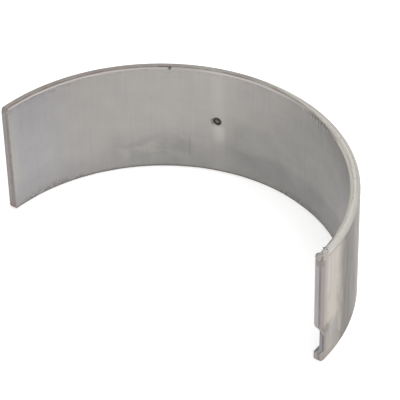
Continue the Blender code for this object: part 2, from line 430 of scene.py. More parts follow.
def turned(name, outline, place):
    """A closed solid of revolution round its own Z, from (radius, height) points, ends on the axis."""
    steps = HOLE_STEPS
    verts, faces = [], []
    for radius, height in outline[1:-1]:
        for k in range(steps):
            t = 2 * math.pi * k / steps
            verts.append((radius * math.cos(t), radius * math.sin(t), height))
    rows = len(outline) - 2
    for row in range(rows - 1):
        for k in range(steps):
            n = (k + 1) % steps
            faces.append((row * steps + k, row * steps + n, (row + 1) * steps + n, (row + 1) * steps + k))
    first, last = len(verts), len(verts) + 1
    verts += [(0, 0, outline[0][1]), (0, 0, outline[-1][1])]
    for k in range(steps):
        n = (k + 1) % steps
        faces.append((first, n, k))
        faces.append((last, (rows - 1) * steps + k, (rows - 1) * steps + n))
    return new_mesh_object(name, [tuple(place @ Vector(v)) for v in verts], faces)


def drill_outline():
    """The drill with a rolled rim at the back, and a plain run through the bore side."""
    points = [(0.0, OUTER + 1.0), (HOLE_RADIUS + 1.12, OUTER + 1.0)]
    for t in np.linspace(0, 1, 5):
        turn = t * math.pi / 2
        points.append((HOLE_RADIUS + HOLE_ROLL * (1 - math.sin(turn)),
                       OUTER + 0.01 - HOLE_ROLL * (1 - math.cos(turn))))
    return points + [(HOLE_RADIUS, BORE - 1.0), (0.0, BORE - 1.0)]


def sink_outline():
    """The flat cone on the bore side, with a soft outer rim."""
    steep = (SINK_RADIUS - HOLE_RADIUS) / SINK_DEPTH
    return [(0.0, BORE + SINK_RADIUS / steep), (SINK_RADIUS - 0.06, BORE + 0.06 / steep),
            (SINK_RADIUS + 0.02, BORE + 0.004), (SINK_RADIUS + 0.16, BORE - 0.02),
            (SINK_RADIUS + 0.3, BORE - 1.0), (0.0, BORE - 1.0)]


def drill_hole(item):
    """Cut the oil hole and its countersink, and leave the result as the item's own mesh."""
    sink_angle = HOLE_ANGLE - math.degrees(SINK_OFFSET / BORE)
    cutters = [turned("drill", drill_outline(), radial(HOLE_ANGLE, HOLE_Z)),
               turned("sink", sink_outline(), radial(sink_angle, HOLE_Z))]
    for cutter in cutters:
        cutter.location = item.location
        cut = item.modifiers.new(cutter.name, "BOOLEAN")
        cut.operation = "DIFFERENCE"
        cut.solver = "EXACT"
        cut.object = cutter
    depsgraph = bpy.context.evaluated_depsgraph_get()
    finished = bpy.data.meshes.new_from_object(item.evaluated_get(depsgraph))
    item.modifiers.clear()
    item.data = finished
    for cutter in cutters:
        bpy.data.objects.remove(cutter, do_unlink=True)
    turn_outwards(finished)


SHARP_ANGLE = 38


def shade(item):
    """Smooth faces between sharp edges, with normals that follow the large faces."""
    item.data.shade_smooth()
    item.data.set_sharp_from_angle(angle=math.radians(SHARP_ANGLE))
    weighted = item.modifiers.new("Weighted normals", "WEIGHTED_NORMAL")
    weighted.keep_sharp = True


PLACES = ("arc", "height", "radius", "joint")


def mark_places(mesh):
    """Store where each vertex lies on the shell, for the materials, in millimetres."""
    points = np.empty(len(mesh.vertices) * 3)
    mesh.vertices.foreach_get("co", points)
    x, y, z = (points.reshape(-1, 3) / MM).T
    values = (np.arctan2(x, y) * MIDDLE, z, np.hypot(x, y), y - JOINT)
    for name, data in zip(PLACES, values):
        layer = mesh.attributes.new(name, "FLOAT", "POINT")
        layer.data.foreach_set("value", data.astype(np.float32))


BORE_SLOT, BACK_SLOT, EDGE_SLOT, HOLE_SLOT = range(4)

# A face closer than this to an end face, a parting face or the back counts as part of it
SKIN = 0.02


def face_facts(mesh):
    """Middle of each face in millimetres, and its normal."""
    count = len(mesh.polygons)
    centre = np.empty(count * 3)
    normal = np.empty(count * 3)
    mesh.polygons.foreach_get("center", centre)
    mesh.polygons.foreach_get("normal", normal)
    return centre.reshape(-1, 3) / MM, normal.reshape(-1, 3)


def in_oil_hole(centre, radius):
    """Which faces are the oil hole's wall."""
    axis = radial(HOLE_ANGLE, HOLE_Z)
    local = centre - np.array(axis.translation)
    direction = np.array(axis.to_3x3() @ Vector((0, 0, 1)))
    along = local @ direction
    away = np.linalg.norm(local - along[:, None] * direction, axis=1)
    return (away < HOLE_RADIUS + 0.05) & (radius > BORE + 0.1) & (radius < OUTER - 0.005) & (along > 0)


def share_out(mesh):
    """Give each face its material: bore, back, machined edges or the hole's wall."""
    centre, normal = face_facts(mesh)
    radius = np.hypot(centre[:, 0], centre[:, 1])
    outward_share = (normal[:, :2] * centre[:, :2]).sum(axis=1) / radius
    from_joint = centre[:, 1] - JOINT
    from_lug = np.abs(centre[:, 2] - LUG_Z)
    clear = (centre[:, 2] > SKIN) & (centre[:, 2] < WIDTH - SKIN) & (from_joint > SKIN)
    by_lug = (centre[:, 0] > 0) & (from_lug < 5.4) & (from_joint < 6.2) & clear
    in_notch = by_lug & (radius < OUTER - 0.3) & (from_joint > 0.15) & (from_lug < 4.2)
    outer_break = (from_joint < PART_OUTER_LENGTH + 0.1) & (normal[:, 1] < -0.3) & (radius > MIDDLE)

    slot = np.full(len(radius), EDGE_SLOT)
    slot[(outward_share > 0.8) & clear] = BACK_SLOT
    slot[(outward_share < -0.9) & clear] = BORE_SLOT
    slot[by_lug & (radius > OUTER - SKIN)] = BACK_SLOT
    slot[in_notch] = BORE_SLOT
    slot[outer_break] = EDGE_SLOT
    slot[in_oil_hole(centre, radius)] = HOLE_SLOT
    mesh.polygons.foreach_set("material_index", slot.astype(np.int32))


class Value:
    """A number or a colour that varies over the surface. Arithmetic on a number adds math nodes."""

    def __init__(self, graph, socket):
        self.graph = graph
        self.socket = socket

    def __add__(self, other):
        return self.graph.math("ADD", self, other)

    def __sub__(self, other):
        return self.graph.math("SUBTRACT", self, other)

    def __rsub__(self, other):
        return self.graph.math("SUBTRACT", other, self)

    def __mul__(self, other):
        return self.graph.math("MULTIPLY", self, other)

    def __truediv__(self, other):
        return self.graph.math("DIVIDE", self, other)

    def __abs__(self):
        return self.graph.math("ABSOLUTE", self)


class Graph:
    """Short ways to write a material's nodes, with the places a, z, r and j to paint by."""

    def __init__(self, name):
        self.material = bpy.data.materials.new(name)
        self.material.use_nodes = True
        self.tree = self.material.node_tree
        self.shader = self.tree.nodes["Principled BSDF"]
        self.a, self.z, self.r, self.j = (self.place(place) for place in PLACES)
        self.colour = None

    def put(self, socket, value):
        """Set a socket to a number or a colour, or link a varying value to it."""
        if isinstance(value, Value):
            self.tree.links.new(value.socket, socket)
        else:
            socket.default_value = value

    def place(self, name):
        """A place that mark_places has stored on the mesh."""
        node = self.tree.nodes.new("ShaderNodeAttribute")
        node.attribute_name = name
        return Value(self, node.outputs["Fac"])

    def math(self, operation, *values):
        """The result of one math node."""
        node = self.tree.nodes.new("ShaderNodeMath")
        node.operation = operation
        for socket, value in zip(node.inputs, values):
            self.put(socket, value)
        return Value(self, node.outputs[0])

    def higher(self, a, b):
        """The higher of two values."""
        return self.math("MAXIMUM", a, b)

    def span(self, value, low, high, out_low=0.0, out_high=1.0, smooth=True):
        """Leads from out_low to out_high while the value goes from low to high."""
        node = self.tree.nodes.new("ShaderNodeMapRange")
        node.interpolation_type = "SMOOTHSTEP" if smooth else "LINEAR"
        for socket, item in zip(node.inputs[:5], (value, low, high, out_low, out_high)):
            self.put(socket, item)
        return Value(self, node.outputs[0])

    def between(self, value, start, full, fade, stop):
        """Mask of 1 from full to fade, with soft edges that end at start and stop."""
        return self.span(value, start, full) * self.span(value, stop, fade)

    def noise(self, x, y, layer, detail=3.0, roughness=0.5, distortion=0.0):
        """Noise over x and y. The layer is a third place, or a number that picks a pattern."""
        place = self.tree.nodes.new("ShaderNodeCombineXYZ")
        for socket, value in zip(place.inputs, (x, y, layer)):
            self.put(socket, value)
        node = self.tree.nodes.new("ShaderNodeTexNoise")
        self.tree.links.new(place.outputs[0], node.inputs["Vector"])
        node.inputs["Scale"].default_value = 1.0
        node.inputs["Detail"].default_value = detail
        node.inputs["Roughness"].default_value = roughness
        node.inputs["Distortion"].default_value = distortion
        return Value(self, node.outputs["Fac"])

    def distance(self, u, v, place):
        """Distance from a place given in two coordinates."""
        du, dv = u - place[0], v - place[1]
        return self.math("SQRT", du * du + dv * dv)

    def spot(self, u, v, place, size, strength):
        """A soft round mask in two coordinates."""
        return self.span(self.distance(u, v, place), size, 0.4 * size, 0.0, strength)

    def mix(self, factor, a, b):
        """Colour a where the factor is 0, and b where it is 1."""
        node = self.tree.nodes.new("ShaderNodeMix")
        node.data_type = "RGBA"
        node.clamp_factor = True
        self.put(node.inputs["Factor"], factor)
        self.put(node.inputs[6], a)
        self.put(node.inputs[7], b)
        return Value(self, node.outputs[2])

    def paint(self, mask, tone):
        """Lay a tone over the colour so far, where the mask is 1."""
        self.colour = self.mix(mask, self.colour, tone)

    def finish(self, metallic, roughness, relief=None, depth=0.0):
        """Wire the shader, with a relief whose depth is in metres."""
        self.put(self.shader.inputs["Base Color"], self.colour)
        self.put(self.shader.inputs["Metallic"], metallic)
        self.put(self.shader.inputs["Roughness"], roughness)
        if relief is not None:
            node = self.tree.nodes.new("ShaderNodeBump")
            node.inputs["Strength"].default_value = 1.0
            node.inputs["Distance"].default_value = depth
            self.put(node.inputs["Height"], relief)
            self.tree.links.new(node.outputs["Normal"], self.shader.inputs["Normal"])
        return self.material


def linear(r, g, b):
    """A colour as it is read on screen, 0 to 255, in the renderer's linear values."""
    def one(v):
        v /= 255.0
        return v / 12.92 if v <= 0.04045 else ((v + 0.055) / 1.055) ** 2.4
    return (one(r), one(g), one(b), 1.0)


# Chips in the bore edge: their tones (dark pits and painted glints), and in turn how far below the end face
# they lie and how strong their painted glints are
CHIP_DARK = linear(104, 100, 94)
CHIP_GLINT_TONE = linear(190, 187, 180)
CHIP_DROPS = (0.30, 0.92, 0.61)
CHIP_GLINTS = (0.4, 0.7, 0.55)


def chipped(g):
    """Dark pits, each with a painted glint beside it."""
    for k, (angle, half, size) in enumerate(CHIPS):
        at = arc(angle)
        drop = WIDTH - CHIP_DROPS[k % 3]
        fleck = g.spot(g.a, g.z, (at - 0.36, drop - 0.18), 0.30 + 0.5 * half, CHIP_GLINTS[k % 3])
        pit = g.spot(g.a, g.z, (at, drop), 0.2 + 0.7 * half, 1.2 * size + 0.1)
        g.paint(fleck, CHIP_GLINT_TONE)
        g.paint(pit, CHIP_DARK)


# The bore
BORE_GREY = linear(164, 160, 157)
BORE_COOL = linear(162, 160, 162)
BORE_RELIEF = linear(173, 172, 167)
# Painted shade: a step darker from the middle of the bore on, and darker at the plain end's foot
BORE_MIDDLE_SHADE = linear(157, 153, 150)
BORE_FOOT_SHADE = linear(146, 143, 143)
# Painted shade over the right of the bore, deepest in a low band
BORE_SHADE = linear(146, 144, 141)
BORE_DEEP_SHADE = linear(130, 129, 128)
# Painted shade in clouds low down, left of the oil hole
BORE_CLOUD_SHADE = linear(135, 135, 133)
BORE_SCRATCH = linear(108, 108, 106)
# Painted highlight in an axial band through the oil hole
BORE_HIGHLIGHT = linear(178, 175, 169)
BORE_STREAK = linear(118, 116, 114)
BORE_MOTTLE = linear(190, 187, 183)
DIRT = linear(92, 89, 84)
DIRT_UPPER = linear(122, 111, 106)
RUST = linear(112, 100, 88)
LOWER_LINE = linear(84, 82, 80)
NOTCH_WALL = linear(92, 92, 90)
# Painted shade and a painted highlight round the oil hole, and painted shade at the drilling's rim
SINK_SHADE = linear(112, 107, 96)
SINK_RIM_SHADE = linear(100, 96, 86)
SINK_HIGHLIGHT = linear(168, 164, 156)
HOLE_RIM_SHADE = linear(52, 49, 38)
SCRATCH_AT = -22.4


def bore_ground(g):
    """Grey, cooler at the plain end, lighter along the crush relief, painted shade mid-bore and at the plain
    end's foot.
    """
    a, z = g.a, g.z
    g.colour = BORE_GREY
    g.paint(g.span(a, -48.0, -62.0), BORE_COOL)
    low_left = g.span(z, 11.0, 2.0) * g.span(a, 0.0, -1.0)
    relief = g.span(g.j, 4.2, 1.0) * g.span(z, WIDTH - 0.6, WIDTH - 6.0, 0.45, 1.0)
    relief = relief * g.span(low_left, 0.0, 1.0, 1.0, 0.3)
    g.paint(relief * 0.65, BORE_RELIEF)
    g.paint(g.span(a, -15.0, -6.5), BORE_MIDDLE_SHADE)
    foot = g.span(z, 11.0, 0.5) * g.span(a, -36.0, -42.0)
    g.paint(foot * 0.7, BORE_FOOT_SHADE)


def bore_shaded_side(g):
    """Painted shade right of a slanting border: darker and greener, darkest in a low band."""
    a, z = g.a, g.z
    wave = g.noise(a * 0.09, z * 0.12, 4.0, 2.0) - 0.5
    slant = a + 8.8 + (17.0 - z) * 1.54 + wave * 16.0
    g.paint(g.span(slant, -8.0, 11.0), BORE_SHADE)
    drift = z + wave * 5.0
    band = g.span(drift, 9.8, 7.6) * g.span(drift, 0.0, 7.0, 0.62, 1.0)
    band = band * g.between(a, -13.5, -7.0, 28.0, 44.0)
    g.paint(band * 0.7, BORE_DEEP_SHADE)


def bore_shade_clouds(g):
    """Clouds of painted shade low down, left of the oil hole, and a scratch in them."""
    a, z = g.a, g.z
    cloud = g.noise(a * 0.13, z * 0.24, 1.0, 4.0, 0.55, 0.7)
    where = g.between(a, -47.0, -36.0, -24.0, -17.0) * g.span(z + cloud * 5.0, 16.2, 11.2)
    g.paint(where * g.span(cloud, 0.36, 0.62, 0.15, 0.62), BORE_CLOUD_SHADE)
    scratch = g.span(abs(a - SCRATCH_AT), 0.30, 0.06) * g.between(z, 3.0, 5.0, 8.0, 10.5)
    g.paint(scratch * 0.4, BORE_SCRATCH)


def bore_highlight_band(g):
    """A painted highlight: a light axial band through the oil hole, brightest just below it."""
    a, z = g.a, g.z
    band = g.between(a, -17.2, -14.6, -14.4, -12.0)
    below = g.between(z, 7.5, 12.5, 13.4, 15.0)
    amount = g.span(z, 6.0, 22.0, 0.12, 0.42) + below * 0.8
    g.paint(band * amount, BORE_HIGHLIGHT)


def bore_dirt(g):
    """Dots and smears along the lower edge over a thin dark line, and smears along the upper edge."""
    a, z = g.a, g.z
    dots = g.noise(a * 1.2, z * 1.6, 9.0, 3.0, 0.7)
    smear = g.noise(a * 0.5, z * 2.4, 19.0, 3.0, 0.6)
    worn = g.higher(g.between(a, -71.0, -65.0, -56.0, -47.0), g.span(a, -4.0, 10.0))
    lower = g.span(z / (worn * 1.7 + 1.3), 1.0, 0.3)
    marks = g.higher(g.span(dots, 0.50, 0.58), g.span(smear, 0.48, 0.6) * 0.7)
    g.paint(lower * marks * 0.65, DIRT)
    upper = g.span(z, WIDTH - 2.0, WIDTH - 0.6) * g.span(smear, 0.50, 0.64)
    g.paint(upper * g.span(a, -46.0, -60.0, 0.25, 0.6), DIRT_UPPER)
    rust = g.span(z, WIDTH - 1.15, WIDTH - 0.5) * g.span(a, 20.0, 26.0) * g.span(smear, 0.42, 0.58, 0.2, 1.0)
    g.paint(rust * 0.55, RUST)
    g.paint(g.span(z, 0.95, 0.5, 0.0, 0.6), LOWER_LINE)


def notch_shade(g):
    """The notch's lower wall is dark."""
    wall = g.span(g.z, 5.6, 4.6) * g.span(g.j, 4.0, 2.0) * g.span(g.a, 60.0, 62.0)
    wall = wall * g.span(g.r, BORE + 0.15, BORE + 0.4)
    g.paint(wall * 0.8, NOTCH_WALL)


def countersink(g):
    """Painted brown shade on the hole's left, a painted highlight low on the left, and painted shade as a
    dark line round the drilling.
    """
    a, z, middle = g.a, g.z, arc(HOLE_ANGLE)
    away = g.distance(a, z, (middle, HOLE_Z))
    left = g.span(a, middle - 0.3, middle - 1.1)
    level = g.between(z, HOLE_Z - 1.8, HOLE_Z - 0.9, HOLE_Z + 0.3, HOLE_Z + 1.0)
    brown = g.span(away, HOLE_RADIUS + 1.0, HOLE_RADIUS + 0.55) * left * level
    g.paint(brown * 0.75, SINK_SHADE)
    g.paint(g.span(away, HOLE_RADIUS + 0.55, HOLE_RADIUS + 0.2, 0.0, 0.35), SINK_RIM_SHADE)
    g.paint(g.spot(a, z, (middle - 0.72, HOLE_Z - 1.0), 0.4, 0.5), SINK_HIGHLIGHT)
    g.paint(g.span(away, HOLE_RADIUS + 0.3, HOLE_RADIUS + 0.08, 0.0, 0.92), HOLE_RIM_SHADE)


def bore_material():
    """Grey overlay on the bore: soft cloudy tones, painted shade and a painted highlight, fine axial streaks
    and a few stains.
    """
    g = Graph("bore_overlay")
    a, z = g.a, g.z
    for layer in (bore_ground, bore_shaded_side, bore_shade_clouds, bore_highlight_band):
        layer(g)
    streak = g.noise(a * 1.9, z * 0.05, 2.0, 3.0, 0.55)
    g.paint(g.span(streak, 0.35, 0.7, 0.0, 0.08, smooth=False), BORE_STREAK)
    mottle = g.noise(a * 0.16, z * 0.2, 7.0, 4.0, 0.6)
    g.paint(g.span(mottle, 0.4, 0.7, 0.0, 0.14, smooth=False), BORE_MOTTLE)
    for layer in (bore_dirt, notch_shade, chipped, countersink):
        layer(g)
    grain = g.noise(a * 5.0, z * 0.25, 5.0, 2.0)
    roughness = g.span(streak, 0.3, 0.7, 0.40, 0.46, smooth=False)
    return g.finish(0.72, roughness, grain, 0.0000015)


# The back, and the marks above the lug: distance from the joint, height, size, strength
BACK_GREY = linear(148, 140, 132)
BACK_PALER = linear(158, 152, 145)
# Painted highlight: a light strip down by the lug's parting face
BACK_HIGHLIGHT = linear(181, 174, 166)
BACK_UNDER = linear(156, 148, 140)
BACK_EDGE = linear(152, 144, 140)
BACK_STREAK = linear(140, 136, 130)
BACK_PINK = linear(180, 169, 165)
BACK_STAIN = linear(140, 128, 112)
BACK_BLUE = linear(158, 160, 157)
BACK_MOTTLE = linear(140, 132, 124)
# Painted shade that falls off behind the light strip
BACK_SHADE = linear(80, 71, 64)
LUG_DULL = linear(138, 131, 125)
# Painted shade, blue-grey, on the lug's upper flank
LUG_FLANK_SHADE = linear(141, 145, 140)
LUG_MARK = linear(112, 102, 88)
LUG_MARKS = ((1.45, 9.5, 0.32, 0.5), (1.6, 8.0, 0.30, 0.45), (2.3, 10.1, 0.22, 0.35), (2.1, 7.4, 0.2, 0.35))


def back_ground(g, at):
    """Warm grey in broad bands, with a painted highlight strip down by the lug's parting face, duller low
    down.
    """
    a, z = g.a, g.z
    broad = g.noise(a * 0.22, z * 0.03, 18.0)
    g.colour = BACK_GREY
    g.paint(g.span(broad, 0.3, 0.7), BACK_PALER)
    g.paint(g.span(at, 58.0, 63.0), BACK_HIGHLIGHT)
    under = g.span(z - (a - 60.0) * 1.1, 0.8, -0.6) * g.span(a, 56.0, 60.0)
    g.paint(under * 0.8, BACK_UNDER)
    g.paint(g.span(a, 0.0, 1.0) * g.span(g.j, 2.9, 1.0), BACK_EDGE)


def back_stains(g, at, mottle):
    """Pink and blue tints, stains, a fine mottle, and a soft fall-off of painted shade behind the highlight
    strip.
    """
    a, z = g.a, g.z
    pink = g.noise(a * 0.5, z * 0.14, 12.0, 3.0, 0.6, 0.4)
    g.paint(g.span(pink, 0.48, 0.7, 0.0, 0.45) * g.span(at, 58.0, 64.0), BACK_PINK)
    stain = g.noise(a * 0.35, z * 0.3, 15.0, 4.0, 0.65, 0.6)
    g.paint(g.span(stain, 0.58, 0.76, 0.0, 0.35), BACK_STAIN)
    blue = g.noise(a * 0.6, z * 0.22, 25.0, 3.0, 0.6, 0.5)
    g.paint(g.span(blue, 0.54, 0.70) * g.span(a, 60.0, 64.0, 0.35, 0.15), BACK_BLUE)
    g.paint(g.span(mottle, 0.35, 0.7, 0.0, 0.16), BACK_MOTTLE)
    fall_off = g.between(at, 34.0, 58.5, 60.4, 66.8)
    g.paint(fall_off * 0.85, BACK_SHADE)


def lug_tones(g, mottle):
    """A dull strip over the lug, with a blue-grey patch of painted shade on its upper flank, and small marks.
    """
    z, j = g.z, g.j
    lug_side = g.span(g.a, 0.0, 1.0)
    strip = lug_side * g.span(j, 8.0, 6.5) * g.span(z, 12.0, 8.5)
    g.paint(strip * 0.75, LUG_DULL)
    frayed = z + (mottle - 0.5) * 2.0
    patch = g.between(j, 2.4, 3.4, 5.8, 7.0) * g.span(frayed, 5.6, 6.8)
    patch = patch * g.span(frayed + j * 0.25, 10.2, 9.0)
    g.paint(patch * lug_side * 0.75, LUG_FLANK_SHADE)
    for at_j, at_z, size, strength in LUG_MARKS:
        g.paint(g.spot(j, z, (at_j, at_z), size, strength) * lug_side, LUG_MARK)


def back_material():
    """Steel back: warm grey with soft axial bands, streaks, light stains, a painted highlight strip and
    painted shade.
    """
    g = Graph("steel_back")
    a, z = g.a, g.z
    at = a + (g.noise(a * 0.35, z * 0.16, 3.0, 3.0, 0.6) - 0.5) * 3.0
    mottle = g.noise(a * 1.6, z * 1.1, 33.0, 4.0, 0.65)
    streak = g.noise(a * 1.6, z * 0.06, 6.0, 3.0, 0.6)
    back_ground(g, at)
    g.paint(g.span(streak, 0.45, 0.72, 0.0, 0.2, smooth=False), BACK_STREAK)
    back_stains(g, at, mottle)
    lug_tones(g, mottle)
    grain = g.noise(a * 7.0, z * 0.3, 5.0, 2.0)
    roughness = g.span(streak, 0.3, 0.7, 0.34, 0.48, smooth=False)
    return g.finish(0.75, roughness, grain, 0.000005)


# The end faces and the chamfers round them
END_WARM = linear(168, 161, 157)
END_PALE = linear(179, 175, 170)
END_GREY = linear(166, 163, 159)
END_RUDDY = linear(152, 138, 132)
# Painted highlight spreading across the end faces
END_HIGHLIGHT = linear(204, 201, 193)
END_DULL = linear(146, 142, 136)
# Painted highlights on a ridge line and at the end by the lug side
END_RIDGE_HIGHLIGHT = linear(228, 225, 216)
END_LUG_SIDE_HIGHLIGHT = linear(212, 210, 205)
END_SPECKLE = linear(132, 124, 114)
SEAM = linear(112, 100, 92)
SMUDGE = linear(104, 94, 86)
SMUDGE_AT = -28.2
NICK_DARK = linear(92, 86, 80)
OUTER_CHAMFER = linear(138, 134, 128)
OUTER_CHAMFER_PALE = linear(178, 175, 168)
CHAMFER_START = linear(158, 152, 148)
CHAMFER_RUSTY = linear(160, 136, 114)
CHAMFER_LOWER = linear(104, 101, 97)

# Painted highlight and shade tones of the bore chamfer after its start: where the change begins and ends, and
# what it leads to
CHAMFER_TONES = (
    (-62.0, -30.0, linear(177, 171, 167)),
    (-24.0, -14.0, linear(206, 200, 195)),
    (2.0, 10.0, linear(182, 178, 173)),
    (11.0, 15.0, linear(148, 144, 139)),
    (21.0, 29.0, linear(216, 211, 203)),
)
# Painted shade on the bore chamfer by the lug's parting face
CHAMFER_END_SHADE = (60.5, 64.5, linear(84, 82, 78))


def end_faces(g, along):
    """Darker on the plain side, then painted highlights from the back inwards towards the lug side and on a
    ridge.
    """
    a, r = g.a, g.r
    light_from = g.span(a, -14.0, 20.0, OUTER - 0.2, BORE + 0.3, smooth=False)
    light = g.span(r - light_from, -0.25, 0.25) * g.span(a, -18.0, 8.0)
    g.colour = END_WARM
    g.paint(g.span(a, -30.0, -10.0), END_PALE)
    g.paint(g.span(a, -3.0, 8.0), END_GREY)
    ruddy = g.noise(a * 0.16, r * 0.6, 14.0, 2.0)
    g.paint(g.span(ruddy, 0.45, 0.62, 0.0, 0.6), END_RUDDY)
    g.paint(light, END_HIGHLIGHT)
    g.paint(g.span(along, 0.42, 0.66, 0.0, 0.35), END_DULL)
    ridge = g.span(abs(r - (OUTER - 1.15)), 0.4, 0.05) * g.span(a, 12.0, 24.0)
    g.paint(ridge * 0.6, END_RIDGE_HIGHLIGHT)
    g.paint(g.span(a, 44.0, 60.0, 0.0, 0.5), END_LUG_SIDE_HIGHLIGHT)
    speckle = g.noise(a * 0.9, r * 3.0, 31.0, 3.0, 0.65)
    g.paint(g.span(speckle, 0.52, 0.70, 0.0, 0.35), END_SPECKLE)


def lining_seam(g):
    """Brown seam between lining and back, plain on the left and faint on the right, and a smudge."""
    a, r = g.a, g.r
    wander = g.noise(a * 0.3, 0.0, 21.0, 3.0, 0.6)
    away = abs(r - g.span(wander, 0.2, 0.8, BORE + 0.55, BORE + 0.85))
    seam = g.span(away, 0.18, 0.05) * g.span(wander, 0.40, 0.55, 0.25, 1.0) * g.span(a, -12.0, -2.0, 0.9, 0.3)
    g.paint(seam, SEAM)
    across = g.between(r, BORE + 0.34, BORE + 0.42, BORE + 0.75, BORE + 1.05)
    g.paint(g.span(abs(a - SMUDGE_AT), 2.3, 1.0) * across * 0.8, SMUDGE)


def chamfers(g, along):
    """The bore chamfer, whose painted highlights and shade change along the arc, with rust, and the outer
    one.
    """
    a, r = g.a, g.r
    highlight_and_rust = CHAMFER_START
    for start, stop, tone in CHAMFER_TONES:
        highlight_and_rust = g.mix(g.span(a, start, stop), highlight_and_rust, tone)
    rusty = g.between(a, 22.0, 25.0, 28.0, 33.0) * g.span(along, 0.4, 0.55)
    highlight_and_rust = g.mix(rusty * 0.5, highlight_and_rust, CHAMFER_RUSTY)
    start, stop, tone = CHAMFER_END_SHADE
    highlight_and_rust = g.mix(g.span(a, start, stop), highlight_and_rust, tone)
    highlight_and_rust = g.mix(g.span(g.z, 2.0, 1.0), highlight_and_rust, CHAMFER_LOWER)
    edge = g.span(a, *END_BORE_WIDENS, BORE + END_BORE_NARROW + 0.05, BORE + END_BORE + 0.06, smooth=False)
    g.paint(g.span(r - edge, 0.0, -0.08), highlight_and_rust)
    outer = g.mix(g.span(a, -4.0, 20.0), OUTER_CHAMFER, OUTER_CHAMFER_PALE)
    g.paint(g.span(r, OUTER - END_OUTER - 0.02, OUTER - END_OUTER + 0.04), outer)


# The parting faces, the edge breaks along them and the facets at their corners
BREAK_OUTER = linear(150, 142, 140)
BREAK_BROWN = linear(130, 119, 118)
BREAK_GREY = linear(152, 147, 143)
PARTING_PLAIN = linear(143, 138, 135)
PARTING_LUG = linear(158, 156, 156)
PLAIN_FOOT = linear(116, 104, 96)
PLAIN_FLECK = linear(118, 104, 96)
NOTCH_SIDE = linear(133, 132, 135)
NOTCH_BELOW = linear(160, 151, 147)
FOLD = linear(108, 102, 103)
UPRIGHT_STREAK = linear(138, 136, 138)
FACET_LIGHT = linear(175, 173, 172)
FACET_BROWN = linear(152, 141, 134)
FACET_PLAIN = linear(152, 146, 142)
# Painted shade under the upper corner facet
FACET_UNDER_SHADE = linear(130, 121, 118)
BURR_BROWN = linear(104, 88, 72)
SLIVER_LIGHT = linear(186, 184, 180)
GRIT_BELOW = linear(124, 108, 98)
GRIT_TOP = linear(120, 106, 94)
BURR_PALE = linear(178, 177, 174)
BURR_WARM = linear(166, 157, 151)

# Spots at the burred corner: distance from the joint, radius from the bore axis, size, strength
BURR_SPOTS = ((2.0, 45.5, 0.44, 0.6), (1.35, 46.2, 0.36, 0.55), (4.3, 44.9, 0.36, 0.85),
              (3.9, 45.6, 0.32, 0.85), (3.2, 46.2, 0.24, 0.45), (2.7, 44.95, 0.3, 0.5), (2.9, 45.8, 0.2, 0.4))


def by_joint(g):
    """Mask of the parting faces and the edge breaks along them."""
    return g.span(g.j, PART_OUTER_LENGTH + 0.05, PART_OUTER_LENGTH - 0.05)


def lug_end(g):
    """The same on the lug's side only."""
    return by_joint(g) * g.span(g.a, 0.0, 1.0)


def below_notch(g):
    """Mask of the foot below the notch."""
    return g.span(g.z, 3.6, 2.6) * lug_end(g)


def corner_facets(g):
    """Mask of the extra breaks at the corners of the parting faces."""
    low = g.span(g.z, PART_END + 0.06, PART_END - 0.06)
    high = g.span(g.z, WIDTH - PART_END - 0.06, WIDTH - PART_END + 0.06)
    return g.span(g.j, PART_END + 0.1, PART_END - 0.1) * g.higher(low, high)


def past_fold(g):
    """How far outside the fold between parting face and outer edge break, which follows the lug."""
    on_lug = g.span(abs(g.z - LUG_Z), LUG_ROOT / 2, LUG_TOP / 2, smooth=False)
    proud = on_lug * LUG_HEIGHT * g.span(g.a, 0.0, 1.0)
    return g.r - proud - (OUTER - PART_OUTER)


def parting_ground(g):
    """Even tones of the parting faces and of the edge breaks on both sides of them."""
    j = g.j
    outer_break = by_joint(g) * g.span(past_fold(g), -0.08, -0.02)
    g.paint(outer_break, BREAK_OUTER)
    bore_break = g.span(j, PART_BORE + 0.05, PART_BORE - 0.05) * g.span(g.r, BORE + 0.70, BORE + 0.62)
    g.paint(bore_break, g.mix(g.span(j, 0.2, 0.62), BREAK_BROWN, BREAK_GREY))
    face = g.mix(g.span(g.a, 0.0, 1.0), PARTING_PLAIN, PARTING_LUG)
    g.paint(g.span(j, 0.03, 0.01), face)


def plain_end(g):
    """Brown foot and flecks on the parting face without a lug."""
    here = by_joint(g) * g.span(g.a, 0.0, -1.0)
    g.paint(here * g.span(g.z, 4.0, 1.0) * 0.6, PLAIN_FOOT)
    flecks = g.noise(g.r * 1.6, g.z * 0.7, 41.0, 4.0, 0.7)
    g.paint(here * g.span(flecks, 0.50, 0.66, 0.0, 0.6), PLAIN_FLECK)


def notch_surroundings(g):
    """Darker parting face beside the notch, a warm foot below it, the fold line and upright streaks."""
    z, here, fold_at = g.z, by_joint(g), past_fold(g)
    by_notch = g.between(z, 2.2, 2.8, 10.3, 10.9) * lug_end(g)
    g.paint(by_notch * g.span(fold_at, 0.0, -0.08, 0.0, 0.9), NOTCH_SIDE)
    g.paint(below_notch(g) * 0.6, NOTCH_BELOW)
    fold = here * g.span(abs(fold_at), 0.30, 0.06) * (by_notch * 0.2 + 0.75)
    g.paint(fold, FOLD)
    upright = g.noise(g.r * 2.5, z * 0.12, 8.0, 3.0, 0.6)
    g.paint(here * g.span(upright, 0.4, 0.72, 0.0, 0.5), UPRIGHT_STREAK)


def facets(g):
    """Corner facets, light inside and brown outside, and painted shade in a darker stretch under the upper
    one.
    """
    facet = g.mix(g.span(g.r, 45.9, 46.5), FACET_LIGHT, FACET_BROWN)
    facet = g.mix(g.span(g.a, 0.0, -1.0), facet, FACET_PLAIN)
    g.paint(corner_facets(g) * 0.85, facet)
    under = g.between(g.z, 27.9, 28.6, 29.3, 29.7) * lug_end(g)
    g.paint(under * 0.7, FACET_UNDER_SHADE)


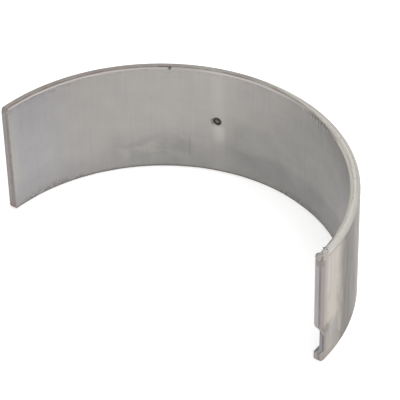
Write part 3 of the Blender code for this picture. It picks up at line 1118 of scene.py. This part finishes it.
def burred_corner(g):
    """Brown spots, a light sliver and grit on the end face by the lug, and grit below the notch."""
    a, z, r, j = g.a, g.z, g.r, g.j
    here = g.span(z, WIDTH - 1.4, WIDTH - 0.6) * g.span(a, 60.0, 62.0)
    for at_j, at_r, size, strength in BURR_SPOTS:
        g.paint(g.spot(j, r, (at_j, at_r), size, strength) * here, BURR_BROWN)
    sliver = here * g.span(r, BORE + 0.12, BORE - 0.05) * g.between(j, 3.0, 3.4, 5.0, 5.4)
    g.paint(sliver * 0.8, SLIVER_LIGHT)
    grit = g.noise(a * 2.4, r * 2.8, z * 2.0, 3.0, 0.65)
    g.paint(g.span(grit, 0.48, 0.62) * below_notch(g) * 0.6, GRIT_BELOW)
    near = here * g.span(j, 4.6, 1.5)
    facet = corner_facets(g)
    tone = g.mix(g.span(r, 45.0, 45.5), BURR_PALE, BURR_WARM)
    g.paint(near * (1.0 - facet) * 0.5, tone)
    gritty = near * g.span(facet, 0.0, 1.0, 0.55, 0.25) * g.span(r, 45.0, 45.6, 0.3, 1.0)
    g.paint(g.span(grit, 0.5, 0.62) * gritty, GRIT_TOP)


def nicked(g):
    """Chips on the bore chamfer, and the dark nick."""
    whole = g.colour
    chipped(g)
    g.colour = g.mix(g.span(g.r, BORE + 0.6, BORE + 0.5), whole, g.colour)
    nick = g.span(abs(g.a - arc(NICK_ANGLE)), 0.6, 0.3) * g.span(g.r, BORE + 0.8, BORE + 0.55)
    g.paint(nick * 0.85, NICK_DARK)


def edge_material():
    """Machined end faces, parting faces and chamfers with painted highlights and shade, and the edge of the
    lining as a brown line.
    """
    g = Graph("machined_edge")
    a, z, r = g.a, g.z, g.r
    along = g.noise(a * 0.10, r * 2.0, z * 0.2)
    end_faces(g, along)
    lining_seam(g)
    chamfers(g, along)
    for layer in (parting_ground, plain_end, notch_surroundings, facets, burred_corner, nicked):
        layer(g)
    grain = g.noise(r * 8.0, a * 0.3, z * 0.3, 2.0)
    roughness = g.span(along, 0.3, 0.7, 0.34, 0.48, smooth=False)
    return g.finish(0.72, roughness, grain, 0.000006)


# The oil hole's wall: painted shade, with a painted lit spot
HOLE_SHADE = linear(50, 46, 36)
HOLE_LIT_SPOT = linear(166, 162, 147)
HOLE_MOTTLE = linear(60, 56, 46)


def hole_material():
    """Drilled wall: painted shade, dark at both rims, with a painted lit spot of metal between, mottled."""
    g = Graph("hole_wall")
    a, z, r = g.a, g.z, g.r
    wall_mottle = g.noise(a * 2.0, z * 2.0, r * 2.0)
    middle = g.between(r, BORE + 0.45, BORE + 0.75, BORE + 1.3, BORE + 1.7)
    lit_place = (arc(HOLE_ANGLE) - 0.4 * HOLE_RADIUS, HOLE_Z - 0.92 * HOLE_RADIUS)
    g.colour = HOLE_SHADE
    g.paint(middle * g.spot(a, z, lit_place, 0.75, 1.0), HOLE_LIT_SPOT)
    g.paint(g.span(wall_mottle, 0.5, 0.7, 0.0, 0.4), HOLE_MOTTLE)
    return g.finish(0.5, 0.5)


# The shell
shell = new_mesh_object("shell_surface", *shell_mesh())
shell.location = (AXIS_X * MM, AXIS_Y * MM, 0.0)
drill_hole(shell)
shade(shell)
shell.data.materials.clear()
for make_material in (bore_material, back_material, edge_material, hole_material):
    shell.data.materials.append(make_material())
mark_places(shell.data)
share_out(shell.data)

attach(shell, "root")
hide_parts("bearing_shell")

# Camera, at the photograph's angle and distance. The target and the distance are in outer radii
FOCAL_PIXELS = 2136.4978
FRAME_PIXELS = 400
SENSOR = 36
AZIMUTH = math.radians(38.9372)
ELEVATION = math.radians(38.6196)
ROLL = math.radians(-1.406)
TARGET_RIGHT = -0.2173
TARGET_UP = -0.4137
DISTANCE = 10.6733


def make_camera():
    """The camera that sees the shell as the photograph does."""
    back = Vector((math.sin(AZIMUTH) * math.cos(ELEVATION), -math.cos(AZIMUTH) * math.cos(ELEVATION),
                   math.sin(ELEVATION)))
    right = Vector((math.cos(AZIMUTH), math.sin(AZIMUTH), 0))
    up = back.cross(right)
    right, up = (right * math.cos(ROLL) + up * math.sin(ROLL),
                 up * math.cos(ROLL) - right * math.sin(ROLL))
    axis = Vector((AXIS_X, AXIS_Y, 0)) * MM
    camera = bpy.data.objects.new("camera", bpy.data.cameras.new("camera"))
    bpy.context.scene.collection.objects.link(camera)
    matrix = Matrix((right, up, back)).transposed().to_4x4()
    matrix.translation = axis + OUTER * MM * (-TARGET_RIGHT * right - TARGET_UP * up + DISTANCE * back)
    camera.matrix_world = matrix
    camera.data.sensor_width = SENSOR
    camera.data.lens = FOCAL_PIXELS / FRAME_PIXELS * SENSOR
    camera.data.clip_start = 0.01
    camera.data.clip_end = 10
    bpy.context.scene.camera = camera


# Floor, world and lights, in metres and watts
FLOOR_SIZE = 4.0
FLOOR_DROP = 0.0001
FLOOR_GLOW = 0.58
WORLD_LIGHT = 0.60
LIT_POINT = Vector((0, 0, 0.015))
LIGHTS = (("key", (0.32, 0.22, 0.62), 0.8, 3.0), ("fill", (0.35, -0.6, 0.3), 0.6, 1.0))


def seen_directly(tree):
    """1 for what the camera sees straight, in a mirror or through glass."""
    path = tree.nodes.new("ShaderNodeLightPath")
    total = path.outputs["Is Camera Ray"]
    for name in ("Is Glossy Ray", "Is Transmission Ray"):
        node = tree.nodes.new("ShaderNodeMath")
        node.operation = "MAXIMUM"
        tree.links.new(total, node.inputs[0])
        tree.links.new(path.outputs[name], node.inputs[1])
        total = node.outputs[0]
    return total


def make_floor():
    """A pale floor that glows only where it is seen, so that it looks white and keeps the shadow."""
    bpy.ops.mesh.primitive_plane_add(size=FLOOR_SIZE, location=(0, 0, -FLOOR_DROP))
    floor = bpy.context.active_object
    floor.name = "floor"
    material = bpy.data.materials.new("floor")
    material.use_nodes = True
    tree = material.node_tree
    shader = tree.nodes["Principled BSDF"]
    shader.inputs["Base Color"].default_value = (0.9, 0.9, 0.9, 1)
    shader.inputs["Roughness"].default_value = 0.9
    shader.inputs["Emission Color"].default_value = (1, 1, 1, 1)
    scale = tree.nodes.new("ShaderNodeMath")
    scale.operation = "MULTIPLY"
    scale.inputs[1].default_value = FLOOR_GLOW
    tree.links.new(seen_directly(tree), scale.inputs[0])
    tree.links.new(scale.outputs[0], shader.inputs["Emission Strength"])
    floor.data.materials.append(material)


def make_world():
    """White where it is seen, and a soft light on the shell."""
    world = bpy.data.worlds.new("studio")
    bpy.context.scene.world = world
    world.use_nodes = True
    tree = world.node_tree
    tree.nodes.clear()
    out = tree.nodes.new("ShaderNodeOutputWorld")
    lit = tree.nodes.new("ShaderNodeBackground")
    lit.inputs["Strength"].default_value = WORLD_LIGHT
    seen = tree.nodes.new("ShaderNodeBackground")
    seen.inputs["Strength"].default_value = 1.0
    mix = tree.nodes.new("ShaderNodeMixShader")
    tree.links.new(seen_directly(tree), mix.inputs[0])
    tree.links.new(lit.outputs[0], mix.inputs[1])
    tree.links.new(seen.outputs[0], mix.inputs[2])
    tree.links.new(mix.outputs[0], out.inputs[0])


def area_light(name, place, size, power):
    """A square lamp that looks at the shell."""
    data = bpy.data.lights.new(name, "AREA")
    data.shape = "RECTANGLE"
    data.size = data.size_y = size
    data.energy = power
    lamp = bpy.data.objects.new(name, data)
    bpy.context.scene.collection.objects.link(lamp)
    lamp.location = place
    lamp.rotation_mode = "QUATERNION"
    lamp.rotation_quaternion = (Vector(place) - LIT_POINT).to_track_quat("Z", "Y")


make_camera()
make_floor()
make_world()
for light in LIGHTS:
    area_light(*light)

bpy.context.scene.view_settings.view_transform = "Standard"
